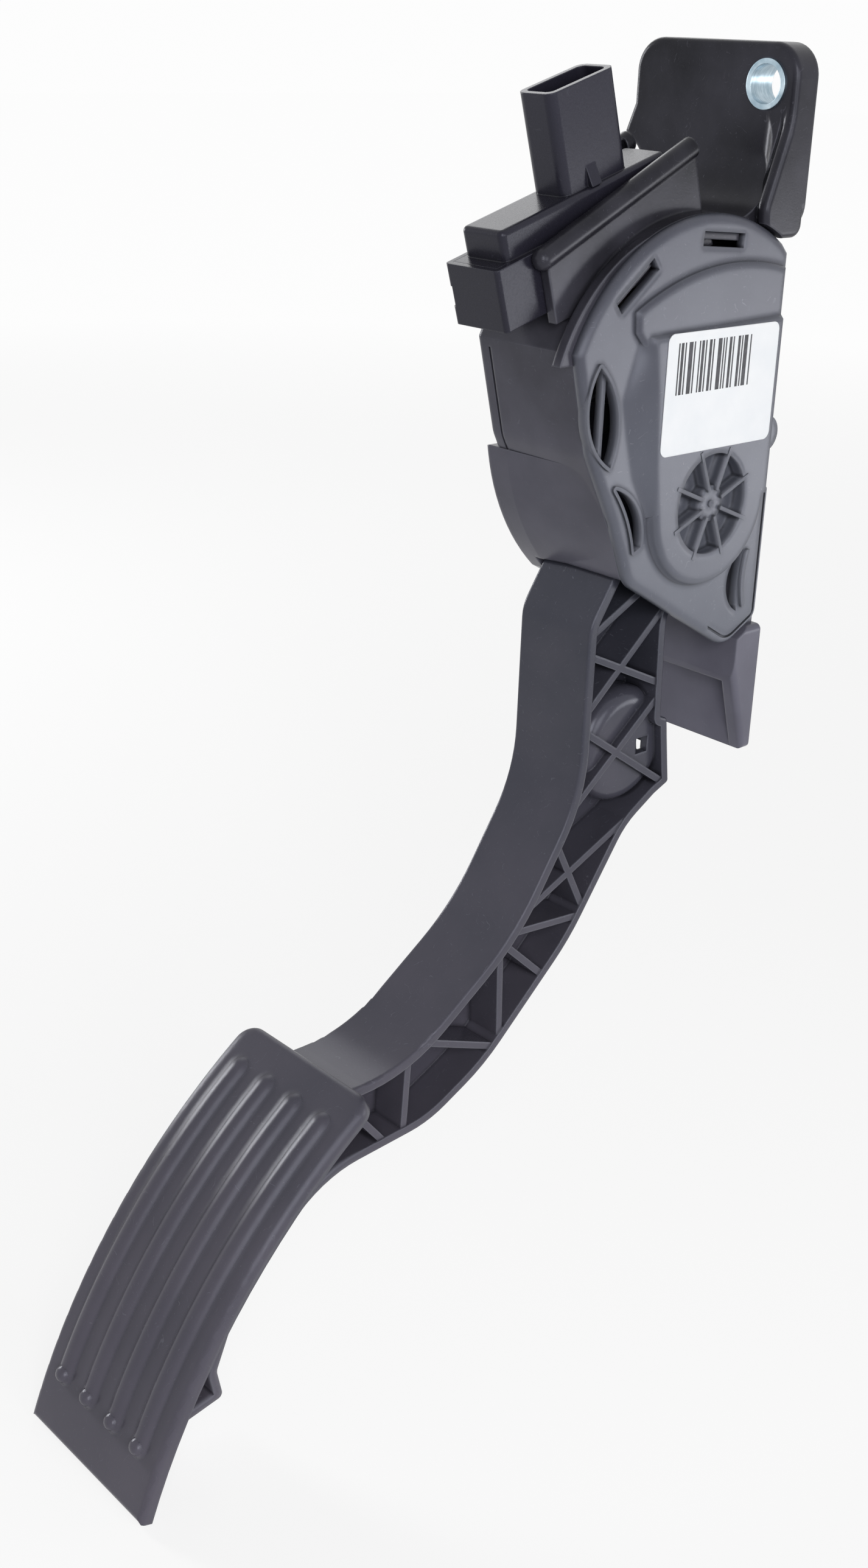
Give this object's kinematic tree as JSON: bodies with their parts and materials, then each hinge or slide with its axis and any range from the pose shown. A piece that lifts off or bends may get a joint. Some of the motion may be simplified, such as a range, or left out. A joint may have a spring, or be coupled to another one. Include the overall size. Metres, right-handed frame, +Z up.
{
  "type": "accelerator pedal sensor",
  "caption": "Hanging accelerator pedal with a moulded case, bolting plate, side cover, lattice arm, ribbed pad and a built-in position sensor with a connector.",
  "frame": {"origin": "on the mounting face, level with the bolt, in the arm's mid-plane", "axes": "+X across the pedal towards the side cover, +Y out of the mounting face towards the bulkhead, +Z up along the pedal"},
  "size_m": [0.0562, 0.1949, 0.3062],
  "materials": {
    "case_plastic": "moulded black glass-filled nylon, satin",
    "cover_plastic": "moulded black glass-filled nylon, fine grain",
    "arm_plastic": "moulded black glass-filled nylon, fine grain",
    "module_plastic": "moulded black polyester, satin",
    "label_film": "white printed film, matte",
    "zinc_steel": "zinc-plated, turned",
    "pin_steel": "ground",
    "spring_steel": "drawn spring wire",
    "tinned_brass": "tin-plated",
    "target_copper": "stamped copper",
    "bush_acetal": "natural acetal, satin",
    "lining": "filled friction compound",
    "bumper_rubber": "moulded, matte",
    "board_laminate": "solder mask",
    "chip_resin": "moulded resin",
    "capacitor_ceramic": "fired ceramic"
  },
  "bodies": {
    "case": {"housing": "case_plastic", "side_cover": "cover_plastic", "label": "label_film", "mounting_sleeve": "zinc_steel", "sensor_tray": "module_plastic", "connector_housing": "module_plastic", "terminals": "tinned_brass", "circuit_board": "board_laminate", "sensor_chips": "chip_resin", "board_capacitors": "capacitor_ceramic", "left_bush": "bush_acetal", "right_bush": "bush_acetal", "spring_seat": "bush_acetal", "outer_spring": "spring_steel", "inner_spring": "spring_steel", "idle_bumper": "bumper_rubber"},
    "pedal": {"pedal_arm": "arm_plastic", "pivot_pin": "pin_steel", "friction_lever": "bush_acetal", "friction_lining": "lining", "rocker_pin": "pin_steel", "target_plate": "target_copper"}
  },
  "joints": [
    {"name": "pedal_pivot", "type": "hinge", "parent": "case", "child": "pedal", "pos_m": [0, -0.026, -0.092], "axis": [1, 0, 0], "range_deg": [0, 14], "stiffness_Nm_per_rad": 18, "springref_deg": -8.02, "deforming": ["outer_spring", "inner_spring"]}
  ]
}
